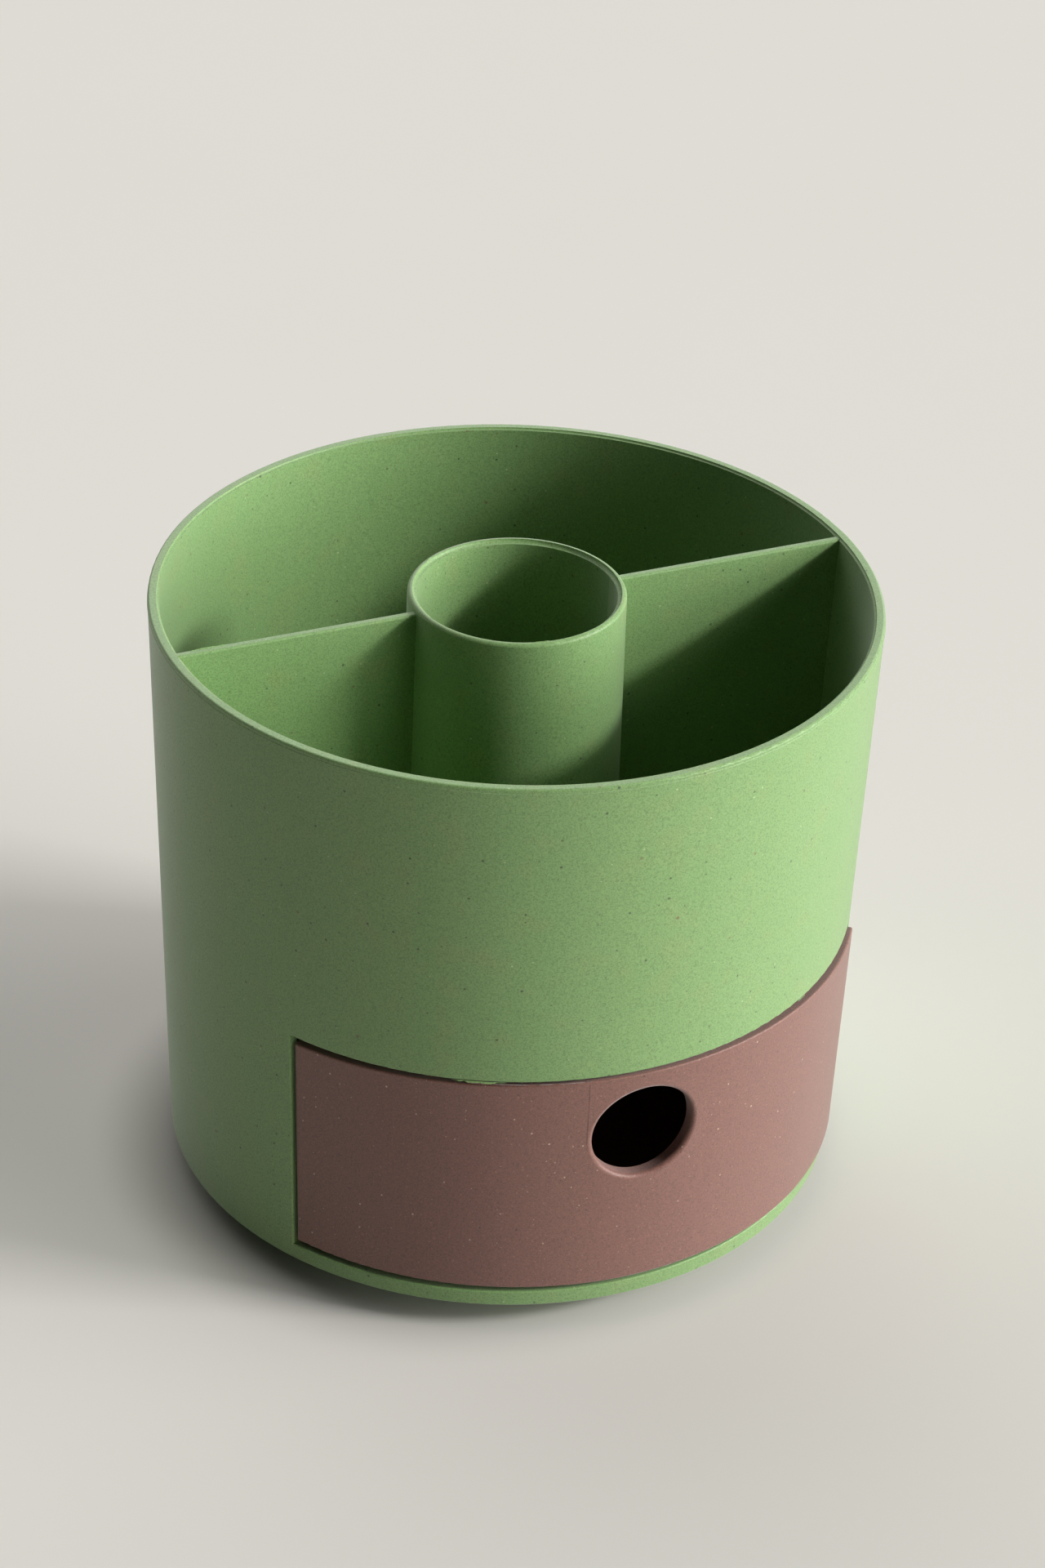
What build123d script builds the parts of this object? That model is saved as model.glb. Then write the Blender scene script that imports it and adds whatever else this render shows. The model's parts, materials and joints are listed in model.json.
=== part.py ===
"""Round desk organizer on a turntable, with two half-moon drawers. Millimetres, +Z up.

The origin is on the desk, under the middle. The front drawer pulls out toward -Y and the rear
drawer toward +Y; the divider runs along X between them.
"""
import os
from math import cos, degrees, radians, sin, sqrt, tan

from build123d import *

# ---- housing: one tapered tub with a deck half way up, a divider and a pen cup ----
rim_radius = 75.0            # outside, at the top edge
foot_radius = 71.5           # outside, at the lower edge
housing_height = 127.2       # lower edge to rim
housing_lift = 6.0           # lower edge above the desk
housing_wall = 2.3
rim_round = 0.5              # both edges of the rim
lower_round = 0.4            # outer lower edge
bay_height = 57.5            # lower edge to the underside of the deck
deck_thickness = 2.3
divider_thickness = 1.8
divider_drop = 0.3           # top of the divider below the rim
divider_round = 0.5
cup_radius = 22.4            # outside, at its lip
cup_wall = 1.85
cup_rise = 0.9               # lip above the housing's rim
cup_draft = 0.5              # degrees, outside and inside
cup_lip_round = 0.85

# ---- drawer windows through the housing's wall ----
window_half_angle = 58.9     # degrees each side of the pull direction
sill_height = 3.6            # ring of wall left under each window
window_round = 0.4

# ---- floor plate, screwed up into four bosses ----
plate_thickness = 2.4
plate_recess = 0.6           # underside above the housing's lower edge
plate_fit = 0.3              # radial gap to the housing's wall
web_gap = 0.2                # web between the drawers, above the plate
boss_radius = 3.0
boss_inset = 3.9             # boss centres inside the floor plate's edge
boss_angle = 11.0            # degrees each side of the X axis
boss_rib = 1.6
pilot_radius = 1.25
pilot_depth = 12.0
screw_clear_radius = 1.7
screw_head_radius = 2.7
screw_grip = 8.0             # thread above the plate
screw_fit = 0.03             # radial gap between a screw's core and its pilot hole
screw_seat_fit = 0.15        # radial gap round a screw's head and in the washer
cross_width = 0.8
cross_depth = 0.7

# ---- drawers ----
panel_thickness = 3.0
panel_edge_gap = 0.4         # each upright edge of the front to the window's edge
panel_sill_gap = 1.0         # lower edge of the front above the sill
panel_top_gap = 0.5          # top of the front below the deck, at its middle
rim_fall = 2.6               # degrees that a drawer's rim falls toward its back
panel_round = 0.4
tray_wall = 1.8
tray_floor = 1.8
side_play = 1.7              # each side of a drawer to the window's inner edge
back_play = 1.1              # drawer's back to the web
hole_radius = 10.9           # finger hole
hole_height = 42.0           # hole centre above the housing's lower edge
hole_round = 0.9
drawer_travel = 50.0
front_sit_side = 0.9         # the front drawer sits this far to +X within its play,
front_sit_out = 0.3          # this far out,
front_sit_turn = -0.35       # and turned this many degrees about the upright axis

# ---- drawer runners and stops on the floor plate ----
rail_gap = 0.3               # drawer's underside above the rails
rail_width = 2.0
rail_spread = 35.0           # rails each side of the middle
rail_start = 6.0
guide_gap = 1.4              # drawer's side to the low guide beside it
guide_thickness = 1.4
guide_height = 5.0
guide_start = 4.0
stop_half_width = 12.0
stop_thickness = 1.6
stop_gap = 0.4
hook_inset = 3.0             # drawer's back face to its hook
hook_floor_gap = 0.4         # hook's lower edge above the floor plate

# ---- turntable ----
base_radius = 60.0
base_thickness = 2.8
base_clear = 1.2             # base plate above the desk
base_round = 0.6
pivot_radius = 6.0
pivot_fit = 0.05             # radial running clearance on the pivot
hub_radius = 11.0
hub_gap = 0.4                # hub below the floor plate
pivot_end = 3.4              # lower end of the pivot above the desk
washer_radius = 8.0
washer_thickness = 0.8
washer_gap = 0.2             # washer below the base's web
washer_side_gap = 1.0        # washer to the side of its recess
pivot_head_radius = 3.0
pivot_head_height = 1.7
pivot_screw_grip = 4.6
pivot_pilot_spare = 0.4
foot_pad_radius = 7.0
foot_pad_height = 2.0
foot_pad_inset = 10.0        # foot centres inside the base's edge
foot_pad_count = 4
foot_pad_start = 45.0        # degrees, first foot
foot_pad_fit = 0.1
foot_pad_chamfer = 0.4

# ---- ball race ----
ball_radius = 2.0
ball_count = 12
race_radius = 40.0
race_fit = 0.05              # gap between a ball and its grooves
cage_half_width = 4.0
cage_thickness = 1.2
cage_fit = 0.15              # gap between a ball and its pocket

# ---- levels worked out from the sizes above ----
rim_z = housing_lift + housing_height
deck_bottom = housing_lift + bay_height
deck_top = deck_bottom + deck_thickness
divider_top = rim_z - divider_drop
cup_top = rim_z + cup_rise
sill_z = housing_lift + sill_height
plate_bottom = housing_lift + plate_recess
plate_top = plate_bottom + plate_thickness
base_top = base_clear + base_thickness
ball_z = (base_top + plate_bottom) / 2
drawer_bottom = sill_z + panel_sill_gap
rail_top = drawer_bottom - rail_gap
drawer_top = deck_bottom - panel_top_gap
hole_z = housing_lift + hole_height
hub_top = plate_bottom - hub_gap
far_out = 3 * (foot_radius + rim_radius)     # longer than anything in the part, any way across


def skin_radius(z):
    """Outside radius of the tapered housing at height z above the desk."""
    return foot_radius + (rim_radius - foot_radius) * (z - housing_lift) / housing_height


def lining_radius(z):
    """Inside radius of the tapered housing at height z."""
    return skin_radius(z) - housing_wall


def save(part, name):
    part.label = name
    export_step(part, f"parts/{name}.step")


os.makedirs("parts", exist_ok=True)

plate_radius = lining_radius(plate_bottom) - plate_fit
boss_reach = plate_radius - boss_inset
foot_pad_reach = base_radius - foot_pad_inset
boss_angles = (-boss_angle, boss_angle, 180 - boss_angle, 180 + boss_angle)
cup_growth = (cup_top - deck_top) * tan(radians(cup_draft))
bore_radius = cup_radius - cup_wall
window_start = lining_radius(housing_lift) - 4 * housing_wall
window_clear = lining_radius(sill_z) * sin(radians(window_half_angle))
tray_half_width = window_clear - side_play
back_y = divider_thickness / 2 + back_play
panel_half_angle = window_half_angle - degrees(panel_edge_gap / skin_radius(drawer_bottom))
rail_length = sqrt(plate_radius**2 - (rail_spread + rail_width) ** 2) - rail_start
rail_middle = rail_start + rail_length / 2
guide_x = tray_half_width + guide_gap + guide_thickness / 2
guide_length = sqrt(plate_radius**2 - (guide_x + guide_thickness) ** 2) - guide_start
guide_middle = guide_start + guide_length / 2
hook_front = back_y + hook_inset + stop_thickness
stop_y = hook_front + front_sit_out + drawer_travel + stop_gap + stop_thickness / 2
base_web_bottom = pivot_end + washer_gap
recess_radius = washer_radius + washer_side_gap
bore_of_base = pivot_radius + pivot_fit

# ------------------------------------------------------------------ housing
# Space above the deck: a tapered cavity that the divider stands in.
with BuildPart() as upper_space:
    flare_z = rim_z - rim_round
    flare_radius = lining_radius(flare_z)
    with BuildSketch(Plane.XZ):
        with BuildLine():
            Polyline((0, deck_top), (lining_radius(deck_top), deck_top), (flare_radius, flare_z))
            RadiusArc((flare_radius, flare_z), (flare_radius + rim_round, rim_z), -rim_round)
            Polyline(
                (flare_radius + rim_round, rim_z),
                (flare_radius + rim_round, cup_top),
                (0, cup_top),
                (0, deck_top),
            )
        make_face()
    revolve(axis=Axis.Z)
    with BuildSketch(Plane.YZ.offset(-far_out)) as divider_section:
        with Locations((0, (deck_bottom + divider_top) / 2)):
            Rectangle(divider_thickness, divider_top - deck_bottom)
        fillet(divider_section.vertices().group_by(Axis.Z)[-1], divider_round)
    extrude(amount=2 * far_out, mode=Mode.SUBTRACT)

# Space under the deck: two drawer bays parted by a web, with the screw bosses left standing.
with BuildPart() as lower_space:
    with BuildSketch(Plane.XZ):
        with BuildLine():
            Polyline(
                (0, 0),
                (lining_radius(0), 0),
                (lining_radius(deck_bottom), deck_bottom),
                (0, deck_bottom),
                close=True,
            )
        make_face()
    revolve(axis=Axis.Z)
    with BuildSketch(Plane.XY.offset(plate_top + web_gap)):
        Rectangle(2 * far_out, divider_thickness)
    extrude(amount=deck_bottom, mode=Mode.SUBTRACT)
    with BuildSketch(Plane.XY.offset(plate_top)):
        for angle in boss_angles:
            spot = Vector(boss_reach, 0).rotate(Axis.Z, angle)
            with Locations(Location(spot, (0, 0, angle))):
                Circle(boss_radius)
                Rectangle(far_out, boss_rib, align=(Align.MIN, Align.CENTER))
    extrude(amount=deck_bottom, mode=Mode.SUBTRACT)

with BuildPart() as body_shell:
    with BuildSketch(Plane.XZ) as skin_section:
        with BuildLine():
            Polyline(
                (0, housing_lift),
                (foot_radius, housing_lift),
                (rim_radius, rim_z),
                (0, rim_z),
                close=True,
            )
        make_face()
        fillet(skin_section.vertices().sort_by(Axis.X)[-2], lower_round)
        fillet(skin_section.vertices().sort_by(Axis.X)[-1], rim_round)
    revolve(axis=Axis.Z)
    add(upper_space.part, mode=Mode.SUBTRACT)
    add(lower_space.part, mode=Mode.SUBTRACT)
    # pen cup with a full round lip; its bore narrows and its outside widens downward
    with BuildSketch(Plane.XZ) as cup_section:
        with BuildLine():
            Polyline(
                (0, deck_bottom),
                (cup_radius + cup_growth, deck_bottom),
                (cup_radius, cup_top),
                (0, cup_top),
                close=True,
            )
        make_face()
        fillet(cup_section.vertices().sort_by(Axis.X)[-2], cup_lip_round)
    revolve(axis=Axis.Z)
    with BuildSketch(Plane.XZ):
        lip_start = (bore_radius, cup_top - cup_lip_round)
        lip_end = (bore_radius + cup_lip_round, cup_top)
        with BuildLine():
            Polyline((0, deck_top), (bore_radius - cup_growth, deck_top), lip_start)
            RadiusArc(lip_start, lip_end, -cup_lip_round)
            Polyline(lip_end, (0, cup_top), (0, deck_top))
        make_face()
    revolve(axis=Axis.Z, mode=Mode.SUBTRACT)
    # a window for each drawer, with radial side edges
    with BuildSketch(Plane.XY.offset(sill_z)):
        for pull_angle in (-90, 90):
            left = Vector(1, 0).rotate(Axis.Z, pull_angle - window_half_angle)
            right = Vector(1, 0).rotate(Axis.Z, pull_angle + window_half_angle)
            with BuildLine():
                Polyline(
                    left * window_start,
                    left * far_out,
                    right * far_out,
                    right * window_start,
                    close=True,
                )
            make_face()
    extrude(amount=deck_bottom - sill_z, mode=Mode.SUBTRACT)
    with Locations(Plane(origin=(0, 0, plate_top), x_dir=(1, 0, 0), z_dir=(0, 0, -1))):
        with Locations(*[Vector(boss_reach, 0).rotate(Axis.Z, -angle) for angle in boss_angles]):
            Hole(pilot_radius, depth=pilot_depth)
    skin = body_shell.faces().filter_by(GeomType.CONE).sort_by(SortBy.AREA)[-1]
    fillet(skin.inner_wires().edges(), window_round)
save(body_shell.part, "body_shell")

# ------------------------------------------------------------------ floor plate
with BuildPart() as floor_plate:
    with BuildSketch(Plane.XY.offset(plate_bottom)):
        Circle(plate_radius)
    extrude(amount=plate_thickness)
    # pivot pin on the underside
    with BuildSketch(Plane.XY.offset(pivot_end)):
        Circle(pivot_radius)
    extrude(amount=plate_bottom - pivot_end)
    # rails that the drawers slide on
    with BuildSketch(Plane.XY.offset(plate_top)):
        with Locations(*[(x, y) for x in (-rail_spread, rail_spread) for y in (-rail_middle, rail_middle)]):
            Rectangle(rail_width, rail_length)
    extrude(amount=rail_top - plate_top)
    # low guides beside the drawers
    with BuildSketch(Plane.XY.offset(plate_top)):
        with Locations(*[(x, y) for x in (-guide_x, guide_x) for y in (-guide_middle, guide_middle)]):
            Rectangle(guide_thickness, guide_length)
    extrude(amount=guide_height)
    # stops that catch the hook under each drawer
    with BuildSketch(Plane.XY.offset(plate_top)):
        with Locations((0, -stop_y), (0, stop_y)):
            Rectangle(2 * stop_half_width, stop_thickness)
    extrude(amount=rail_top - plate_top)
    # upper half of the ball race
    with BuildSketch(Plane.XZ):
        with Locations((race_radius, ball_z)):
            Circle(ball_radius + race_fit)
    revolve(axis=Axis.Z, mode=Mode.SUBTRACT)
    with Locations(Plane(origin=(0, 0, pivot_end), x_dir=(1, 0, 0), z_dir=(0, 0, -1))):
        Hole(pilot_radius, depth=pivot_screw_grip + pivot_pilot_spare)
    with Locations(Plane(origin=(0, 0, plate_bottom), x_dir=(1, 0, 0), z_dir=(0, 0, -1))):
        with Locations(*[Vector(boss_reach, 0).rotate(Axis.Z, -angle) for angle in boss_angles]):
            CounterSinkHole(screw_clear_radius, screw_head_radius + screw_seat_fit, depth=plate_thickness)
save(floor_plate.part, "floor_plate")


# ------------------------------------------------------------------ screws
def screw(head_points, core_radius, length, cross_reach):
    """A screw standing on its head: head_points is the head's half outline from its face up."""
    tip = core_radius
    with BuildPart() as made:
        with BuildSketch(Plane.XZ):
            with BuildLine():
                Polyline(
                    (0, 0),
                    *head_points,
                    (core_radius, length - tip),
                    (core_radius / 3, length),
                    (0, length),
                    close=True,
                )
            make_face()
        revolve(axis=Axis.Z)
        with BuildSketch(Plane.XY):
            Rectangle(2 * cross_reach, cross_width)
            Rectangle(cross_width, 2 * cross_reach)
        extrude(amount=cross_depth, mode=Mode.SUBTRACT)
    return made.part


core_radius = pilot_radius - screw_fit
countersunk = screw(
    [(screw_head_radius, 0), (core_radius, screw_head_radius - core_radius)],
    core_radius,
    plate_thickness + screw_grip,
    screw_head_radius * 0.6,
)
with BuildPart() as floor_plate_screws:
    with Locations(*[Vector(boss_reach, 0, plate_bottom).rotate(Axis.Z, angle) for angle in boss_angles]):
        add(countersunk)
save(floor_plate_screws.part, "floor_plate_screws")

pan_head = screw(
    [
        (pivot_head_radius * 0.7, 0),
        (pivot_head_radius, pivot_head_height * 0.4),
        (pivot_head_radius, pivot_head_height),
        (core_radius, pivot_head_height),
    ],
    core_radius,
    pivot_head_height + washer_thickness + pivot_screw_grip,
    pivot_head_radius * 0.6,
)
with BuildPart() as pivot_screw:
    with Locations((0, 0, pivot_end - washer_thickness - pivot_head_height)):
        add(pan_head)
save(pivot_screw.part, "pivot_screw")

with BuildPart() as pivot_washer:
    with BuildSketch(Plane.XY.offset(pivot_end - washer_thickness)):
        Circle(washer_radius)
        Circle(pilot_radius + screw_seat_fit, mode=Mode.SUBTRACT)
    extrude(amount=washer_thickness)
save(pivot_washer.part, "pivot_washer")


# ------------------------------------------------------------------ drawers
def skin_cone(upright, middle, inset):
    """Everything inside the housing's outer skin, less an inset."""
    with BuildPart() as cone:
        with BuildSketch(upright):
            with BuildLine():
                Polyline(
                    (0, 0),
                    (skin_radius(0) - inset, 0),
                    (skin_radius(rim_z) - inset, rim_z),
                    (0, rim_z),
                    close=True,
                )
            make_face()
        revolve(axis=middle)
    return cone.part


def drawer(place):
    """One moulded half-moon drawer. In its own plane it pulls out toward -Y."""
    upright = Plane(origin=place.origin, x_dir=place.x_dir, z_dir=-place.y_dir)
    middle = Axis(place.origin, place.z_dir)
    front_reach = skin_radius(drawer_top)
    rim_plane = Plane(
        origin=place.from_local_coords(Vector(0, -front_reach, drawer_top)),
        x_dir=place.x_dir,
        z_dir=place.y_dir * sin(radians(rim_fall)) + place.z_dir * cos(radians(rim_fall)),
    )
    panel_inside = skin_cone(upright, middle, panel_thickness)
    panel_middle = skin_cone(upright, middle, panel_thickness / 2)
    with BuildPart() as hollow:
        with BuildSketch(place.offset(drawer_bottom + tray_floor)):
            with Locations((0, -back_y - tray_wall)):
                Rectangle(2 * (tray_half_width - tray_wall), far_out, align=(Align.CENTER, Align.MAX))
        extrude(amount=deck_bottom)
        add(panel_inside, mode=Mode.INTERSECT)

    with BuildPart() as panel:
        with BuildSketch(upright):
            with BuildLine():
                Polyline(
                    (skin_radius(drawer_bottom) - panel_thickness, drawer_bottom),
                    (skin_radius(drawer_bottom), drawer_bottom),
                    (skin_radius(deck_bottom), deck_bottom),
                    (skin_radius(deck_bottom) - panel_thickness, deck_bottom),
                    close=True,
                )
            make_face()
        revolve(axis=middle)
        with BuildSketch(place):
            ahead = Vector(0, -far_out)
            with BuildLine():
                Polyline(
                    (0, 0),
                    ahead.rotate(Axis.Z, -panel_half_angle),
                    ahead.rotate(Axis.Z, panel_half_angle),
                    close=True,
                )
            make_face()
        extrude(amount=rim_z, mode=Mode.INTERSECT)

    with BuildPart() as made:
        with BuildSketch(place.offset(drawer_bottom)):
            with Locations((0, -back_y)):
                Rectangle(2 * tray_half_width, far_out, align=(Align.CENTER, Align.MAX))
        extrude(amount=deck_bottom - drawer_bottom)
        add(panel_middle, mode=Mode.INTERSECT)
        add(panel.part)
        add(hollow.part, mode=Mode.SUBTRACT)
        # hook under the back edge, which meets the stop on the floor plate
        with BuildSketch(place.offset(plate_top + hook_floor_gap)):
            with Locations((0, -back_y - hook_inset)):
                Rectangle(2 * stop_half_width, stop_thickness, align=(Align.CENTER, Align.MAX))
        extrude(amount=drawer_bottom - plate_top - hook_floor_gap)
        split(bisect_by=rim_plane, keep=Keep.BOTTOM)
        with BuildSketch(upright.offset(skin_radius(hole_z) - 2 * panel_thickness)):
            with Locations((0, hole_z)):
                Circle(hole_radius)
        extrude(amount=far_out, mode=Mode.SUBTRACT)
        face = made.faces().filter_by(GeomType.CONE).sort_by(SortBy.AREA)[-1]
        fillet(face.inner_wires().edges(), hole_round)
        face = made.faces().filter_by(GeomType.CONE).sort_by(SortBy.AREA)[-1]
        fillet(face.outer_wire().edges(), panel_round)
    return made.part


turn = radians(front_sit_turn)
front_place = Plane(
    origin=(front_sit_side, -front_sit_out, 0),
    x_dir=(cos(turn), sin(turn), 0),
    z_dir=(0, 0, 1),
)
rear_place = Plane(origin=(0, 0, 0), x_dir=(-1, 0, 0), z_dir=(0, 0, 1))
save(drawer(front_place), "front_drawer")
save(drawer(rear_place), "rear_drawer")

# ------------------------------------------------------------------ turntable
with BuildPart() as turntable_base:
    with BuildSketch(Plane.XZ) as base_section:
        with BuildLine():
            Polyline(
                (bore_of_base, base_web_bottom),
                (recess_radius, base_web_bottom),
                (recess_radius, base_clear),
                (base_radius, base_clear),
                (base_radius, base_top),
                (hub_radius, base_top),
                (hub_radius, hub_top),
                (bore_of_base, hub_top),
                close=True,
            )
        make_face()
        fillet(base_section.vertices().group_by(Axis.X)[-1], base_round)
        # lower half of the ball race
        with Locations((race_radius, ball_z)):
            Circle(ball_radius + race_fit, mode=Mode.SUBTRACT)
    revolve(axis=Axis.Z)
    with Locations(Plane(origin=(0, 0, base_clear), x_dir=(1, 0, 0), z_dir=(0, 0, -1))):
        with PolarLocations(foot_pad_reach, foot_pad_count, start_angle=foot_pad_start):
            Hole(foot_pad_radius + foot_pad_fit, depth=foot_pad_height - base_clear)
save(turntable_base.part, "turntable_base")

for number in range(foot_pad_count):
    angle = foot_pad_start + number * 360 / foot_pad_count
    with BuildPart() as rubber_foot:
        with BuildSketch(Plane.XY):
            with Locations(Vector(foot_pad_reach, 0).rotate(Axis.Z, angle)):
                Circle(foot_pad_radius)
        extrude(amount=foot_pad_height)
        chamfer(rubber_foot.faces().sort_by(Axis.Z)[0].edges(), foot_pad_chamfer)
    save(rubber_foot.part, f"rubber_foot_{number + 1}")

with BuildPart() as ball_cage:
    with BuildSketch(Plane.XY.offset(ball_z - cage_thickness / 2)):
        Circle(race_radius + cage_half_width)
        Circle(race_radius - cage_half_width, mode=Mode.SUBTRACT)
        with PolarLocations(race_radius, ball_count):
            Circle(ball_radius + cage_fit, mode=Mode.SUBTRACT)
    extrude(amount=cage_thickness)
save(ball_cage.part, "ball_cage")

with BuildPart() as bearing_balls:
    with Locations(Plane.XY.offset(ball_z)):
        with PolarLocations(race_radius, ball_count):
            Sphere(ball_radius)
save(bearing_balls.part, "bearing_balls")
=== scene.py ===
import json
import math
import random

import bmesh
import bpy
from mathutils import Matrix, Vector


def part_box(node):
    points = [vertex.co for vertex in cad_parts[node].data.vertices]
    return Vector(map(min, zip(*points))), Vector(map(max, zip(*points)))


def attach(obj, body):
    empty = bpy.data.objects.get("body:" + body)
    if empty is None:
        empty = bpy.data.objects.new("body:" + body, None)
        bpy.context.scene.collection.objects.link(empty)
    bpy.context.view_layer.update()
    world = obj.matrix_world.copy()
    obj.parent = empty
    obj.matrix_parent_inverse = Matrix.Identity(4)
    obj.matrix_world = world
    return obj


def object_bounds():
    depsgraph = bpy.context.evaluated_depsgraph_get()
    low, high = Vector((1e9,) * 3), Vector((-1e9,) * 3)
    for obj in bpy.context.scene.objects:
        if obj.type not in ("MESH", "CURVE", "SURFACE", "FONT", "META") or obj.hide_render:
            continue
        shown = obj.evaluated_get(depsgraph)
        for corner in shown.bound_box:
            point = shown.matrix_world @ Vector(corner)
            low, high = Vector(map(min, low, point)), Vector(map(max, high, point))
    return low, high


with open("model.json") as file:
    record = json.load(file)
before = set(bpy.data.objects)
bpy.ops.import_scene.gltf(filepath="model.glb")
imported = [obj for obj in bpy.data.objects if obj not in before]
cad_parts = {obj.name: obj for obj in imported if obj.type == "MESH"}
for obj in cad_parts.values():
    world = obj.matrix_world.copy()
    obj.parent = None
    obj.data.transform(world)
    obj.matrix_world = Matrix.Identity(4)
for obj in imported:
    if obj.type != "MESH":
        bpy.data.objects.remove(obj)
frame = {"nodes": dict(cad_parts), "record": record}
cadLow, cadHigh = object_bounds()
print("frame loaded:", len(frame["nodes"]), "nodes")

mm = 0.001
nodeOf = frame["nodes"]

# the photograph's camera, in the part's own frame
cameraPlace = {
    "spot": (-0.3004, -0.6844, 0.55725),  # metres
    "lens": 96.92,  # mm, with the 36 mm side upright
    "heading": 23.9,  # degrees clockwise from +Y
    "tilt": 32.15,  # degrees below the horizon
    "roll": 2.30,  # degrees
    "sensor": 36,  # mm
    "nearest": 0.01,  # metres
}


def aimCamera(place):
    lens = bpy.data.cameras.new("camera")
    lens.lens = place["lens"]
    lens.sensor_width = place["sensor"]
    lens.clip_start = place["nearest"]
    eye = bpy.data.objects.new("camera", lens)
    bpy.context.scene.collection.objects.link(eye)
    heading, tilt, roll = (math.radians(place[turn]) for turn in ("heading", "tilt", "roll"))
    eye.matrix_world = (
        Matrix.Translation(place["spot"])
        @ Matrix.Rotation(-heading, 4, "Z")
        @ Matrix.Rotation(math.pi / 2 - tilt, 4, "X")
        @ Matrix.Rotation(roll, 4, "Z")
    )
    bpy.context.scene.camera = eye


aimCamera(cameraPlace)
print("camera placed")


# the sRGB curve: straight near black, then a power
srgbCurve = {"straightTo": 0.04045, "straightScale": 12.92, "offset": 0.055, "power": 2.4}


# hex colours are sRGB as a picker shows them; sockets take linear light
def linearOf(hexColour):
    offset = srgbCurve["offset"]
    channels = []
    for start in (1, 3, 5):  # two digits each for red, green and blue
        share = int(hexColour[start:start + 2], 16) / 255
        if share <= srgbCurve["straightTo"]:
            channels.append(share / srgbCurve["straightScale"])
        else:
            channels.append(((share + offset) / (1 + offset)) ** srgbCurve["power"])
    return (*channels, 1.0)


def addNode(tree, kind, values=None, links=None, **settings):
    made = tree.nodes.new(kind)
    for name, value in settings.items():
        setattr(made, name, value)
    for socket, value in (values or {}).items():
        made.inputs[socket].default_value = value
    for socket, source in (links or {}).items():
        tree.links.new(source, made.inputs[socket])
    return made


def newMaterial(name):
    material = bpy.data.materials.new(name)
    material.use_nodes = True
    material.node_tree.nodes.clear()
    return material, material.node_tree


# texture scale for a pattern that repeats about once in so many millimetres
def perMetre(spacingInMm):
    return 1000 / spacingInMm


# 1 inside a speck and 0 outside, with the specks' spacing and largest radius in mm
def scatterSpecks(tree, place, speck):
    shifted = addNode(tree, "ShaderNodeVectorMath", {1: speck["shift"]}, {0: place}, operation="ADD")
    cells = addNode(
        tree,
        "ShaderNodeTexVoronoi",
        {"Scale": perMetre(speck["spacing"])},
        {"Vector": shifted.outputs["Vector"]},
    )
    lot = addNode(tree, "ShaderNodeSeparateColor", links={"Color": cells.outputs["Color"]})
    chance = addNode(
        tree, "ShaderNodeMath", {1: speck["rarity"]}, {0: lot.outputs["Red"]}, operation="POWER"
    )
    reach = speck["radius"] / speck["spacing"]
    radius = addNode(tree, "ShaderNodeMath", {1: reach}, {0: chance.outputs["Value"]}, operation="MULTIPLY")
    depth = addNode(
        tree,
        "ShaderNodeMath",
        links={0: radius.outputs["Value"], 1: cells.outputs["Distance"]},
        operation="SUBTRACT",
    )
    inside = addNode(
        tree, "ShaderNodeMapRange", {"From Max": speck["blur"] * reach}, {"Value": depth.outputs["Value"]}
    )
    return inside.outputs["Result"]


mixSockets = {"colours": (6, 7), "result": 2}  # a mix node's colour sockets, by their numbers


# one colour over another, as far as the mask says
def layOver(tree, under, over, mask, share):
    amount = addNode(tree, "ShaderNodeMath", {1: share}, {0: mask}, operation="MULTIPLY", use_clamp=True)
    mixed = addNode(tree, "ShaderNodeMix", links={"Factor": amount.outputs["Value"]}, data_type="RGBA")
    for socket, colour in zip(mixSockets["colours"], (under, over)):
        if isinstance(colour, str):
            mixed.inputs[socket].default_value = linearOf(colour)
        else:
            tree.links.new(colour, mixed.inputs[socket])
    return mixed.outputs[mixSockets["result"]]


# Polypropylene filled with straw and wood dust, injection moulded in a fine spark-eroded mould.
# The eye gets a satin skin, a little light coming through thin edges, specks and draw streaks.
# Lengths are in mm, and a shift only moves one pattern of specks away from the others.
greenPlastic = {
    "name": "straw_filled_green_polypropylene_moulded",
    "base": "#799F5E",
    "cloud": "#80A264",
    "streak": "#6F9552",
    "grain": "#4F743A",
    "warm": "#8F9A5C",
    "specks": [
        {"colour": "#5B6E3E", "share": 0.75, "spacing": 0.9, "radius": 0.26, "rarity": 1.0, "blur": 0.8,
         "shift": (0.00, 0.00, 0.00)},  # dust
        {"colour": "#2F3A1C", "share": 0.85, "spacing": 2.0, "radius": 0.38, "rarity": 2.0, "blur": 0.5,
         "shift": (0.31, 0.17, 0.23)},  # bark
        {"colour": "#6B4A2E", "share": 0.7, "spacing": 4.4, "radius": 0.55, "rarity": 2.6, "blur": 0.5,
         "shift": (0.11, 0.47, 0.05)},  # rare brown flakes
        {"colour": "#CBD6A6", "share": 0.6, "spacing": 2.0, "radius": 0.28, "rarity": 2.0, "blur": 0.6,
         "shift": (0.57, 0.29, 0.41)},  # pale straw
    ],
}
brownPlastic = {
    "name": "straw_filled_brown_polypropylene_moulded",
    "base": "#815246",
    "cloud": "#7D5448",
    "streak": "#724B40",
    "grain": "#4E332B",
    "warm": "#855648",
    "specks": [
        {"colour": "#A07868", "share": 0.75, "spacing": 0.85, "radius": 0.25, "rarity": 1.0, "blur": 0.8,
         "shift": (0.00, 0.00, 0.00)},  # dust
        {"colour": "#2C1C16", "share": 0.75, "spacing": 3.4, "radius": 0.34, "rarity": 2.2, "blur": 0.5,
         "shift": (0.31, 0.17, 0.23)},  # bark
        {"colour": "#D8BCA8", "share": 0.85, "spacing": 1.7, "radius": 0.3, "rarity": 2.0, "blur": 0.6,
         "shift": (0.57, 0.29, 0.41)},  # pale straw
    ],
}
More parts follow.
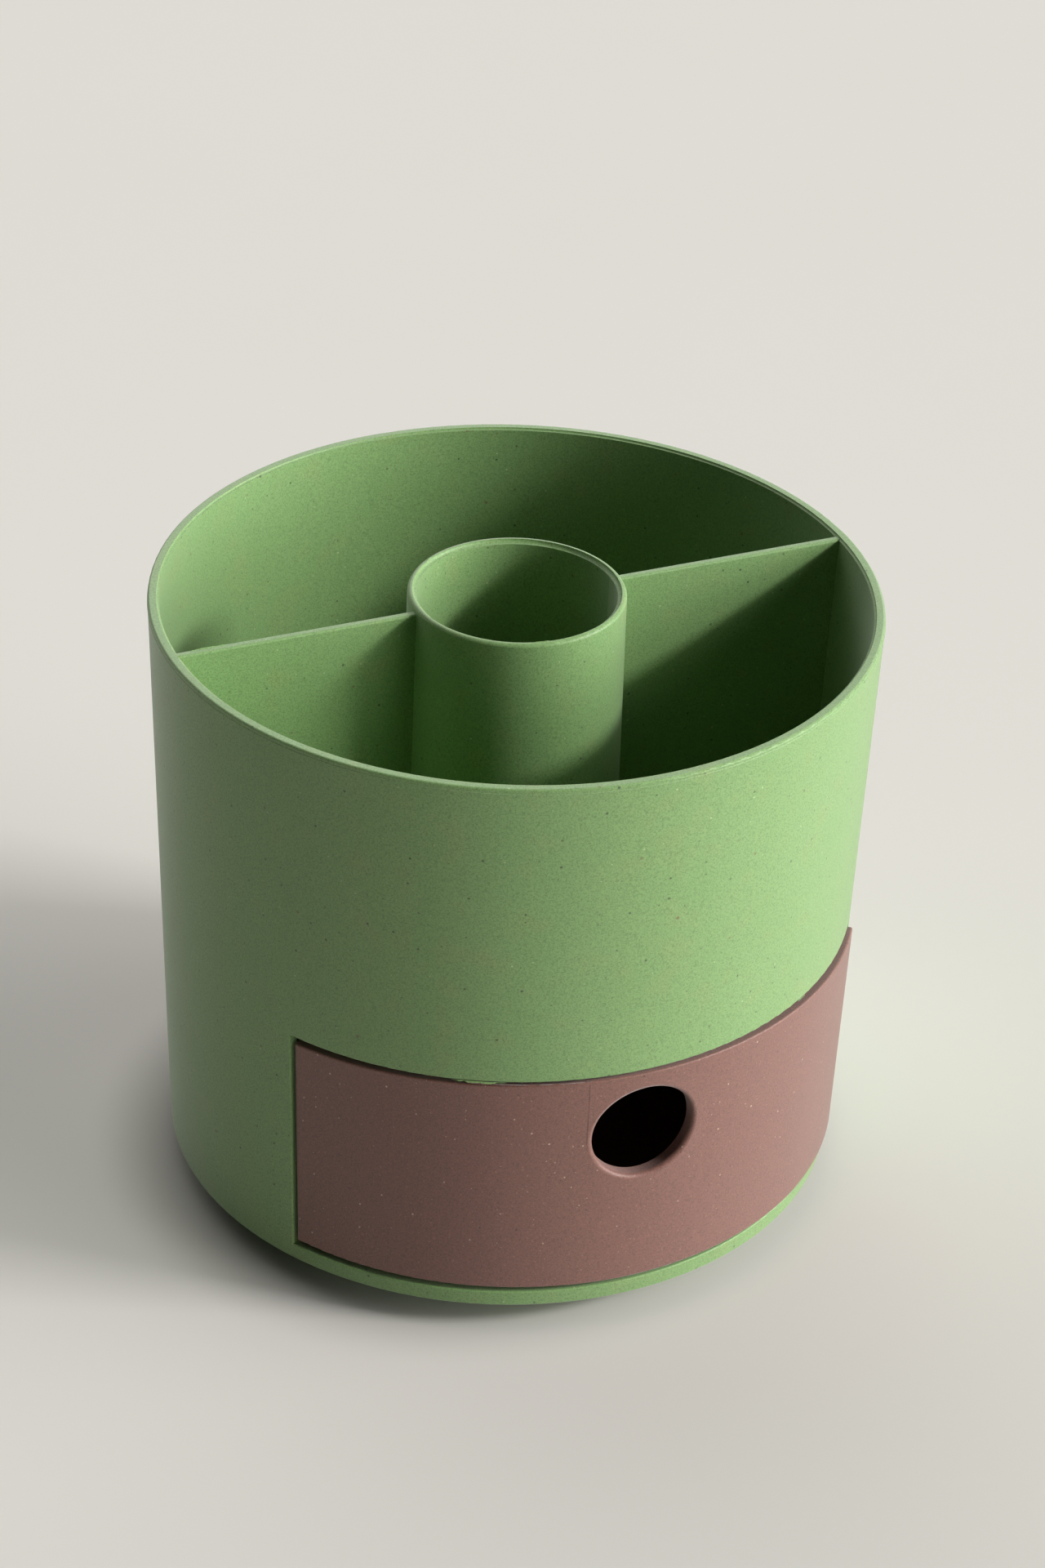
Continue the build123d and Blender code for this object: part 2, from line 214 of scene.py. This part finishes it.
mouldedSkin = {
    "cloudSize": 14,
    "streakSize": 1.3,
    "streakStretch": 0.05,
    "streakRange": (0.45, 0.75),  # noise below shows no streak, and above a full one
    "streakShare": 0.13,
    "grainSize": 0.32,
    "grainRange": (0.4, 0.8),
    "grainShare": 0.8,
    "warmSize": 7,
    "warmRange": (0.55, 0.8),
    "warmShare": 0.4,
    "roughness": 0.52,
    "roughnessSpread": 0.05,
    "grainDepth": 0.02,
    "grainBump": 0.35,
    "waveSize": 22,
    "waveDepth": 0.12,
    "waveBump": 0.5,
    "ior": 1.49,
    "bloom": 0.42,  # pale sheen at a low angle
    "bloomRoughness": 0.5,
    "glowShare": 0.12,
    "glowColours": (1.0, 0.9, 0.25),  # red and green light wander furthest under the skin
    "glowDepth": 0.9,
}


# the ends of a range as a map range node's sockets
def spanOf(ends):
    return {"From Min": ends[0], "From Max": ends[1]}


def mouldedPlastic(look, skin):
    material, tree = newMaterial(look["name"])
    place = addNode(tree, "ShaderNodeTexCoord").outputs["Object"]

    cloud = addNode(
        tree, "ShaderNodeTexNoise", {"Scale": perMetre(skin["cloudSize"]), "Detail": 2.0}, {"Vector": place}
    )
    colour = layOver(tree, look["base"], look["cloud"], cloud.outputs["Fac"], 1.0)

    # the mould draws the part upward and leaves faint upright streaks
    drawn = addNode(
        tree, "ShaderNodeVectorMath", {1: (1, 1, skin["streakStretch"])}, {0: place}, operation="MULTIPLY"
    )
    streak = addNode(
        tree,
        "ShaderNodeTexNoise",
        {"Scale": perMetre(skin["streakSize"]), "Detail": 2.0},
        {"Vector": drawn.outputs["Vector"]},
    )
    streaked = addNode(
        tree, "ShaderNodeMapRange", spanOf(skin["streakRange"]), {"Value": streak.outputs["Fac"]}
    )
    colour = layOver(tree, colour, look["streak"], streaked.outputs["Result"], skin["streakShare"])

    # warmer patches where dust has gathered
    patch = addNode(
        tree, "ShaderNodeTexNoise", {"Scale": perMetre(skin["warmSize"]), "Detail": 3.0}, {"Vector": place}
    )
    gathered = addNode(
        tree, "ShaderNodeMapRange", spanOf(skin["warmRange"]), {"Value": patch.outputs["Fac"]}
    )
    colour = layOver(tree, colour, look["warm"], gathered.outputs["Result"], skin["warmShare"])

    # the dust's fine grain, drawn a little coarse so that it shows
    grain = addNode(
        tree, "ShaderNodeTexNoise", {"Scale": perMetre(skin["grainSize"]), "Detail": 1.0}, {"Vector": place}
    )
    grained = addNode(
        tree, "ShaderNodeMapRange", spanOf(skin["grainRange"]), {"Value": grain.outputs["Fac"]}
    )
    colour = layOver(tree, colour, look["grain"], grained.outputs["Result"], skin["grainShare"])
    for speck in look["specks"]:
        colour = layOver(tree, colour, speck["colour"], scatterSpecks(tree, place, speck), speck["share"])

    rough = addNode(
        tree,
        "ShaderNodeMapRange",
        {
            "To Min": skin["roughness"] - skin["roughnessSpread"],
            "To Max": skin["roughness"] + skin["roughnessSpread"],
        },
        {"Value": grain.outputs["Fac"]},
    )
    fine = addNode(
        tree,
        "ShaderNodeBump",
        {"Strength": skin["grainBump"], "Distance": skin["grainDepth"] * mm},
        {"Height": grain.outputs["Fac"]},
    )
    flow = addNode(
        tree, "ShaderNodeTexNoise", {"Scale": perMetre(skin["waveSize"]), "Detail": 1.0}, {"Vector": place}
    )
    wave = addNode(
        tree,
        "ShaderNodeBump",
        {"Strength": skin["waveBump"], "Distance": skin["waveDepth"] * mm},
        {"Height": flow.outputs["Fac"], "Normal": fine.outputs["Normal"]},
    )
    surface = addNode(
        tree,
        "ShaderNodeBsdfPrincipled",
        {
            "IOR": skin["ior"],
            "Sheen Weight": skin["bloom"],
            "Sheen Roughness": skin["bloomRoughness"],
            "Subsurface Weight": skin["glowShare"],
            "Subsurface Radius": skin["glowColours"],
            "Subsurface Scale": skin["glowDepth"] * mm,
        },
        {"Base Color": colour, "Roughness": rough.outputs["Result"], "Normal": wave.outputs["Normal"]},
    )
    addNode(tree, "ShaderNodeOutputMaterial", links={"Surface": surface.outputs["BSDF"]})
    return material


greenMaterial = mouldedPlastic(greenPlastic, mouldedSkin)
brownMaterial = mouldedPlastic(brownPlastic, mouldedSkin)

# acetal, moulded: milky, even and a little glossy
cageAcetal = {
    "name": "natural_acetal_moulded",
    "base": "#E4E1D8",
    "shade": "#D6D2C6",
    "cloudSize": 6,
    "roughness": 0.34,
    "ior": 1.48,
}


def smoothAcetal(look):
    material, tree = newMaterial(look["name"])
    place = addNode(tree, "ShaderNodeTexCoord").outputs["Object"]
    cloud = addNode(
        tree, "ShaderNodeTexNoise", {"Scale": perMetre(look["cloudSize"]), "Detail": 2.0}, {"Vector": place}
    )
    colour = layOver(tree, look["base"], look["shade"], cloud.outputs["Fac"], 1.0)
    surface = addNode(
        tree,
        "ShaderNodeBsdfPrincipled",
        {"IOR": look["ior"], "Roughness": look["roughness"]},
        {"Base Color": colour},
    )
    addNode(tree, "ShaderNodeOutputMaterial", links={"Surface": surface.outputs["BSDF"]})
    return material


# steels: the balls are ground and polished and mirror the race, the screws have a cloudy zinc coat
ballSteel = {
    "name": "chrome_steel_polished",
    "base": "#C9CACB",
    "tint": "#BDBEC0",
    "roughness": (0.08, 0.125),
    "patch": 3.0,
}
screwSteel = {
    "name": "steel_zinc_plated",
    "base": "#B9BBBB",
    "tint": "#AFAE9F",
    "roughness": (0.264, 0.4125),
    "patch": 1.6,
}


def brightSteel(look):
    material, tree = newMaterial(look["name"])
    place = addNode(tree, "ShaderNodeTexCoord").outputs["Object"]
    patch = addNode(
        tree, "ShaderNodeTexNoise", {"Scale": perMetre(look["patch"]), "Detail": 3.0}, {"Vector": place}
    )
    colour = layOver(tree, look["base"], look["tint"], patch.outputs["Fac"], 1.0)
    rough = addNode(
        tree,
        "ShaderNodeMapRange",
        {"To Min": look["roughness"][0], "To Max": look["roughness"][1]},
        {"Value": patch.outputs["Fac"]},
    )
    surface = addNode(
        tree,
        "ShaderNodeBsdfPrincipled",
        {"Metallic": 1.0},
        {"Base Color": colour, "Roughness": rough.outputs["Result"]},
    )
    addNode(tree, "ShaderNodeOutputMaterial", links={"Surface": surface.outputs["BSDF"]})
    return material


# black rubber feet, moulded: matt, with a grey bloom
footRubber = {
    "name": "black_rubber_moulded",
    "base": "#1D1D1C",
    "bloom": "#33322F",
    "bloomSize": 2.5,
    "roughness": 0.82,
    "pitDepth": 0.03,
    "pitBump": 0.4,
    "ior": 1.52,
}


def mattRubber(look):
    material, tree = newMaterial(look["name"])
    place = addNode(tree, "ShaderNodeTexCoord").outputs["Object"]
    bloom = addNode(
        tree, "ShaderNodeTexNoise", {"Scale": perMetre(look["bloomSize"]), "Detail": 4.0}, {"Vector": place}
    )
    colour = layOver(tree, look["base"], look["bloom"], bloom.outputs["Fac"], 1.0)
    skin = addNode(
        tree,
        "ShaderNodeBump",
        {"Strength": look["pitBump"], "Distance": look["pitDepth"] * mm},
        {"Height": bloom.outputs["Fac"]},
    )
    surface = addNode(
        tree,
        "ShaderNodeBsdfPrincipled",
        {"IOR": look["ior"], "Roughness": look["roughness"]},
        {"Base Color": colour, "Normal": skin.outputs["Normal"]},
    )
    addNode(tree, "ShaderNodeOutputMaterial", links={"Surface": surface.outputs["BSDF"]})
    return material


materialOfSlot = {
    "green_plastic": greenMaterial,
    "brown_plastic": brownMaterial,
    "cage_plastic": smoothAcetal(cageAcetal),
    "bearing_steel": brightSteel(ballSteel),
    "screw_steel": brightSteel(screwSteel),
    "foot_rubber": mattRubber(footRubber),
}
for part in frame["record"]["subparts"]:
    shown = nodeOf[part["node"]]
    for slotNumber in range(len(shown.material_slots)):
        shown.material_slots[slotNumber].material = materialOfSlot[part["material_slot"]]
print("materials on", len(nodeOf), "nodes")

# the tub's and the drawer's outlines, in mm, where the mould has left seams and flash
shellLow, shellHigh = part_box("body_shell")
lipAboveRim = 0.9  # the pen cup's lip stands highest
lipAboveDivider = 1.2
tub = {
    "lipTop": shellHigh[2] / mm,
    "rimTop": shellHigh[2] / mm - lipAboveRim,
    "rimRadius": shellHigh[0] / mm,
    "footRadius": 71.5,
    "footLevel": shellLow[2] / mm,
    "cupRadius": 21.5,
    "dividerTop": shellHigh[2] / mm - lipAboveDivider,
    "windowTop": 63.5,
    "sillTop": 9.6,
    "drawerTop": 63.0,
}
upward = Vector((0, 0, 1))


# the leaning wall's outer radius at a height
def wallRadius(height):
    climb = (height - tub["footLevel"]) / (tub["rimTop"] - tub["footLevel"])
    return tub["footRadius"] + (tub["rimRadius"] - tub["footRadius"]) * climb


# a point on a ring round the axis, 0 degrees at the front and growing toward +X
def onRing(radius, degrees, height):
    turn = math.radians(degrees)
    return Vector((radius * math.sin(turn), -radius * math.cos(turn), height))


def outward(degrees):
    return onRing(1.0, degrees, 0.0)


# A seam or sliver of flash: a ridge with a triangular section that follows places on the surface.
# Each place has its foot, the way it stands up and the way across, and how high it stands there.
def buildRidge(places, width, sunk, closed=False):
    made = bmesh.new()
    rings = []
    for foot, up, across, height in places:
        rings.append(
            [
                made.verts.new((foot - across * (width / 2) - up * sunk) * mm),
                made.verts.new((foot + up * height) * mm),
                made.verts.new((foot + across * (width / 2) - up * sunk) * mm),
            ]
        )
    pairs = list(zip(rings, rings[1:]))
    if closed:
        pairs.append((rings[-1], rings[0]))
    else:
        made.faces.new(rings[0])
        made.faces.new(rings[-1][::-1])
    for one, other in pairs:
        for corner in range(3):
            following = (corner + 1) % 3
            made.faces.new((one[corner], other[corner], other[following], one[following]))
    bmesh.ops.recalc_face_normals(made, faces=made.faces)
    return made


def showPiece(name, made, body, slot, placing=None):
    mesh = bpy.data.meshes.new(name)
    if placing is not None:
        made.transform(placing)
    made.to_mesh(mesh)
    made.free()
    mesh.materials.append(materialOfSlot[slot])
    piece = bpy.data.objects.new(name, mesh)
    bpy.context.scene.collection.objects.link(piece)
    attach(piece, body)


# the mould's parting line, all round just under the rim
partingLine = {"drop": 1.05, "proud": 0.09, "width": 0.3, "sunk": 0.05, "steps": 480}


def drawPartingLine(look):
    height = tub["rimTop"] - look["drop"]
    places = []
    for step in range(look["steps"]):
        turn = 360 * step / look["steps"]
        places.append((onRing(wallRadius(height), turn, height), outward(turn), upward, look["proud"]))
    showPiece(
        "rim_parting_line",
        buildRidge(places, look["width"], look["sunk"], closed=True),
        "housing",
        "green_plastic",
    )


# Flash on edges of the tub: from and to are degrees round the axis, or mm along the divider.
# High is the tallest that a sliver stands, in mm, and its outline is ragged.
edgeFlash = [
    {"name": "window_flash", "edge": "window", "from": -31.0, "to": -22.5, "high": 0.36, "seed": 4},
    {"name": "window_nick", "edge": "window", "from": 32.2, "to": 34.3, "high": 0.45, "seed": 9},
    {"name": "cup_flash_near", "edge": "cup", "from": -15.0, "to": 3.0, "high": 0.22, "seed": 2},
    {"name": "cup_flash_far", "edge": "cup", "from": -152.0, "to": -143.0, "high": 0.25, "seed": 3},
    {"name": "divider_flash_left", "edge": "divider", "from": -70.0, "to": -62.5, "high": 0.28, "seed": 6},
    {"name": "divider_flash_right", "edge": "divider", "from": 58.8, "to": 61.4, "high": 0.25, "seed": 7},
    {"name": "sill_flash", "edge": "sill", "from": 15.6, "to": 17.4, "high": 0.3, "seed": 8},
]
flashShape = {
    "width": 0.22,
    "sunk": 0.06,
    "stepLength": 0.18,
    "leastSteps": 8,
    "dividerBack": 0.45,
    "sillInset": 0.25,
    "windowInset": 0.06,
    "startLevel": 0.5,  # share of the full height
    "leastLevel": 0.05,
    "jump": 0.35,  # most that the height changes from step to step
    "taperSteps": 3,
}


# the foot, the way up, the way across and the height of one place along an edge
def flashPlace(edge, along, height, shape):
    out = outward(along)
    if edge == "window":
        foot = onRing(wallRadius(tub["windowTop"]) - shape["windowInset"], along, tub["windowTop"])
        return foot, (out - upward).normalized(), (out + upward).normalized(), height
    if edge == "cup":
        return onRing(tub["cupRadius"], along, tub["lipTop"]), upward, out, height
    if edge == "sill":
        foot = onRing(wallRadius(tub["sillTop"]) - shape["sillInset"], along, tub["sillTop"])
        return foot, (upward + out) / 2, out, height
    foot = Vector((along, shape["dividerBack"], tub["dividerTop"]))
    return foot, upward, Vector((0, 1, 0)), height


# a height that wanders from step to step and tapers off at both ends
def raggedHeights(count, high, shape, chance):
    level = shape["startLevel"]
    heights = []
    for step in range(count):
        level = min(1.0, max(shape["leastLevel"], level + chance.uniform(-shape["jump"], shape["jump"])))
        taper = min(1.0, step / shape["taperSteps"], (count - 1 - step) / shape["taperSteps"])
        heights.append(high * level * taper)
    return heights


def drawEdgeFlash(flash, shape):
    radius = {"window": wallRadius(tub["windowTop"]), "cup": tub["cupRadius"], "sill": tub["rimRadius"]}
    perUnit = 1.0 if flash["edge"] == "divider" else math.radians(1) * radius[flash["edge"]]
    count = max(shape["leastSteps"], round((flash["to"] - flash["from"]) * perUnit / shape["stepLength"]))
    heights = raggedHeights(count, flash["high"], shape, random.Random(flash["seed"]))
    places = []
    for step, height in enumerate(heights):
        along = flash["from"] + (flash["to"] - flash["from"]) * step / (count - 1)
        places.append(flashPlace(flash["edge"], along, height, shape))
    showPiece(flash["name"], buildRidge(places, shape["width"], shape["sunk"]), "housing", "green_plastic")


# Each drawer's front carries a ragged sliver on its top edge and a hairline weld line beside the hole.
drawerMarks = {
    "flashFrom": -29.0,
    "flashTo": -9.0,
    "flashHigh": 0.4,
    "flashSeed": 11,
    "edgeInset": 0.05,
    "weldAngle": -9.6,
    "weldTop": 62.4,
    "weldFoot": 47.0,
    "weldProud": 0.05,
    "weldWidth": 0.16,
    "weldSteps": 24,
}
drawerSeats = {
    "front": {"body": "front_tray", "shift": (0.9, -0.3), "turn": -0.35},
    "rear": {"body": "rear_tray", "shift": (0.0, 0.0), "turn": 180.0},
}


def drawDrawerMarks(name, seat, look, shape):
    placing = Matrix.Translation((seat["shift"][0] * mm, seat["shift"][1] * mm, 0)) @ Matrix.Rotation(
        math.radians(seat["turn"]), 4, "Z"
    )
    frontRadius = wallRadius(tub["drawerTop"])
    length = math.radians(look["flashTo"] - look["flashFrom"]) * frontRadius
    count = round(length / shape["stepLength"])
    heights = raggedHeights(count, look["flashHigh"], shape, random.Random(look["flashSeed"]))
    places = []
    for step, height in enumerate(heights):
        along = look["flashFrom"] + (look["flashTo"] - look["flashFrom"]) * step / (count - 1)
        foot = onRing(frontRadius - look["edgeInset"], along, tub["drawerTop"])
        out = outward(along)
        places.append((foot, (out + upward).normalized(), (out - upward).normalized(), height))
    showPiece(
        name + "_drawer_flash",
        buildRidge(places, shape["width"], shape["sunk"]),
        seat["body"],
        "brown_plastic",
        placing,
    )
    weldTurn = math.radians(look["weldAngle"])
    across = Vector((math.cos(weldTurn), math.sin(weldTurn), 0))
    places = []
    for step in range(look["weldSteps"]):
        share = step / (look["weldSteps"] - 1)
        height = look["weldFoot"] + (look["weldTop"] - look["weldFoot"]) * share
        foot = onRing(wallRadius(height), look["weldAngle"], height)
        places.append((foot, outward(look["weldAngle"]), across, look["weldProud"]))
    showPiece(
        name + "_drawer_weld_line",
        buildRidge(places, look["weldWidth"], shape["sunk"]),
        seat["body"],
        "brown_plastic",
        placing,
    )


drawPartingLine(partingLine)
for flash in edgeFlash:
    drawEdgeFlash(flash, flashShape)
for seatName, seat in drawerSeats.items():
    drawDrawerMarks(seatName, seat, drawerMarks, flashShape)
print("seams and flash drawn")

# The floor is a pale board. It gives off a little painted light of its own, which only the camera and gloss
# see. The painted light is stronger away from the camera and fades out under the tub as painted shade. That
# keeps the shadow on it about as light as the photograph's.
floorLook = {
    "name": "pale_painted_board",
    "base": "#CBC8C3",
    "cloud": "#C9C6C0",
    "cloudSize": 90,  # mm
    "roughness": 0.75,
    "gloss": 0.0,
    "reach": 2.5,  # metres
    "rings": 12,
    "ringGrowth": 2,
    "spokes": 48,
    "glow": "#E8E6DF",
    # painted light on the floor: its strength near the camera and far from it
    "paintedLightFront": 0.165,
    "paintedLightBack": 0.235,
    "frontAt": 0.58,  # metres from the spot under the camera
    "backAt": 0.95,
    "paintedShadeMiddle": (-0.010, 0.0, 0.0),  # painted shade: the floor's painted light fades out here, so the shadow under the tub stays deep
    "paintedShadeFrom": 0.061,
    "paintedShadeTo": 0.081,
}


def isSeen(tree):
    path = addNode(tree, "ShaderNodeLightPath")
    direct = addNode(
        tree,
        "ShaderNodeMath",
        links={0: path.outputs["Is Camera Ray"], 1: path.outputs["Is Glossy Ray"]},
        operation="MAXIMUM",
    )
    return addNode(
        tree,
        "ShaderNodeMath",
        links={0: direct.outputs["Value"], 1: path.outputs["Is Transmission Ray"]},
        operation="MAXIMUM",
    ).outputs["Value"]


def paintBoard(look):
    material, tree = newMaterial(look["name"])
    place = addNode(tree, "ShaderNodeTexCoord").outputs["Object"]
    cloud = addNode(
        tree, "ShaderNodeTexNoise", {"Scale": perMetre(look["cloudSize"]), "Detail": 3.0}, {"Vector": place}
    )
    colour = layOver(tree, look["base"], look["cloud"], cloud.outputs["Fac"], 1.0)
    surface = addNode(
        tree,
        "ShaderNodeBsdfPrincipled",
        {"Roughness": look["roughness"], "Specular IOR Level": look["gloss"]},
        {"Base Color": colour},
    )
    # painted light that grows away from the camera, and painted shade right under the tub where it is gone
    away = addNode(
        tree,
        "ShaderNodeVectorMath",
        {1: (cameraPlace["spot"][0], cameraPlace["spot"][1], 0.0)},
        {0: place},
        operation="DISTANCE",
    )
    growing = addNode(
        tree,
        "ShaderNodeMapRange",
        {
            "From Min": look["frontAt"],
            "From Max": look["backAt"],
            "To Min": look["paintedLightFront"],
            "To Max": look["paintedLightBack"],
        },
        {"Value": away.outputs["Value"]},
    )
    reach = addNode(
        tree, "ShaderNodeVectorMath", {1: look["paintedShadeMiddle"]}, {0: place}, operation="DISTANCE"
    )
    paintedLightLevel = addNode(
        tree,
        "ShaderNodeMapRange",
        {"From Min": look["paintedShadeFrom"], "From Max": look["paintedShadeTo"]},
        {"Value": reach.outputs["Value"], "To Max": growing.outputs["Result"]},
        interpolation_type="SMOOTHSTEP",
    )
    strength = addNode(
        tree, "ShaderNodeMath", links={0: isSeen(tree), 1: paintedLightLevel.outputs["Result"]}, operation="MULTIPLY"
    )
    glow = addNode(
        tree,
        "ShaderNodeEmission",
        {"Color": linearOf(look["glow"])},
        {"Strength": strength.outputs["Value"]},
    )
    both = addNode(
        tree, "ShaderNodeAddShader", links={0: surface.outputs["BSDF"], 1: glow.outputs["Emission"]}
    )
    addNode(tree, "ShaderNodeOutputMaterial", links={"Surface": both.outputs["Shader"]})
    return material


# a round board in rings that grow wider outward
def layFloor(look):
    made = bmesh.new()
    middle = made.verts.new((0, 0, 0))
    rings = []
    for ring in range(1, look["rings"] + 1):
        radius = look["reach"] * (ring / look["rings"]) ** look["ringGrowth"]
        turns = [2 * math.pi * spoke / look["spokes"] for spoke in range(look["spokes"])]
        rings.append([made.verts.new((radius * math.cos(t), radius * math.sin(t), 0)) for t in turns])
    for spoke in range(look["spokes"]):
        following = (spoke + 1) % look["spokes"]
        made.faces.new((middle, rings[0][spoke], rings[0][following]))
        for inner, outer in zip(rings, rings[1:]):
            made.faces.new((inner[spoke], outer[spoke], outer[following], inner[following]))
    mesh = bpy.data.meshes.new("floor")
    made.to_mesh(mesh)
    made.free()
    mesh.materials.append(paintBoard(look))
    floor = bpy.data.objects.new("floor", mesh)
    bpy.context.scene.collection.objects.link(floor)


layFloor(floorLook)

# one long narrow lamp low on the right, whose shadows are sharp across and soft along
# it is far off, so that the floor toward it is hardly brighter
keyLamp = {
    "azimuth": 57.5,  # degrees
    "elevation": 26.5,
    "distance": 20.0,  # metres
    "width": 4.6,
    "height": 1.56,
    "watts": 2800.0,
    "colour": "#FFFEFE",
}
# the room: no even fill, only soft glows, each a bright patch of wall that fades toward its edge
room = {
    "seen": "#DAD8D1",
    "light": "#F8F8F6",
    "fill": 0.0,
    "glows": [
        {"azimuth": 60, "elevation": 0, "edge": 0.7, "strength": 9.5},  # beside the lamp
        {"azimuth": 180, "elevation": 45, "edge": 0.7, "strength": 1.6},  # window behind
    ],
}


# unit vector toward an azimuth, counted from the front toward +X, and an elevation
def wayTo(azimuthDegrees, elevationDegrees):
    azimuth, elevation = math.radians(azimuthDegrees), math.radians(elevationDegrees)
    level = math.cos(elevation)
    return Vector((math.sin(azimuth) * level, -math.cos(azimuth) * level, math.sin(elevation)))


def hangLamp(name, look):
    lamp = bpy.data.lights.new(name, "AREA")
    lamp.shape = "RECTANGLE"
    lamp.size = look["width"]
    lamp.size_y = look["height"]
    lamp.energy = look["watts"]
    lamp.color = linearOf(look["colour"])[:3]
    hung = bpy.data.objects.new(name, lamp)
    bpy.context.scene.collection.objects.link(hung)
    away = wayTo(look["azimuth"], look["elevation"])
    hung.location = (cadLow + cadHigh) / 2 + away * look["distance"]
    hung.rotation_euler = (-away).to_track_quat("-Z", "Y").to_euler()


def lightRoom(look):
    world = bpy.data.worlds.new("room")
    world.use_nodes = True
    bpy.context.scene.world = world
    tree = world.node_tree
    tree.nodes.clear()
    way = addNode(tree, "ShaderNodeTexCoord").outputs["Generated"]
    total = addNode(tree, "ShaderNodeValue")
    total.outputs["Value"].default_value = look["fill"]
    for glow in look["glows"]:
        facing = addNode(
            tree,
            "ShaderNodeVectorMath",
            {1: wayTo(glow["azimuth"], glow["elevation"])},
            {0: way},
            operation="DOT_PRODUCT",
        )
        patch = addNode(
            tree,
            "ShaderNodeMapRange",
            {"From Min": glow["edge"], "From Max": 1.0, "To Max": glow["strength"]},
            {"Value": facing.outputs["Value"]},
            interpolation_type="SMOOTHSTEP",
        )
        total = addNode(
            tree,
            "ShaderNodeMath",
            links={0: total.outputs["Value"], 1: patch.outputs["Result"]},
            operation="ADD",
        )
    # the camera sees a plain pale room instead of the glows, and gloss sees both
    path = addNode(tree, "ShaderNodeLightPath")
    unseen = addNode(
        tree, "ShaderNodeMath", {0: 1.0}, {1: path.outputs["Is Camera Ray"]}, operation="SUBTRACT"
    )
    strength = addNode(
        tree,
        "ShaderNodeMath",
        links={0: total.outputs["Value"], 1: unseen.outputs["Value"]},
        operation="MULTIPLY",
    )
    light = addNode(
        tree,
        "ShaderNodeBackground",
        {"Color": linearOf(look["light"])},
        {"Strength": strength.outputs["Value"]},
    )
    seen = addNode(
        tree, "ShaderNodeBackground", {"Color": linearOf(look["seen"])}, {"Strength": isSeen(tree)}
    )
    both = addNode(
        tree,
        "ShaderNodeAddShader",
        links={0: light.outputs["Background"], 1: seen.outputs["Background"]},
    )
    addNode(tree, "ShaderNodeOutputWorld", links={"Surface": both.outputs["Shader"]})


hangLamp("key", keyLamp)
lightRoom(room)
bpy.context.scene.view_settings.view_transform = "Standard"
print("floor and light in place")
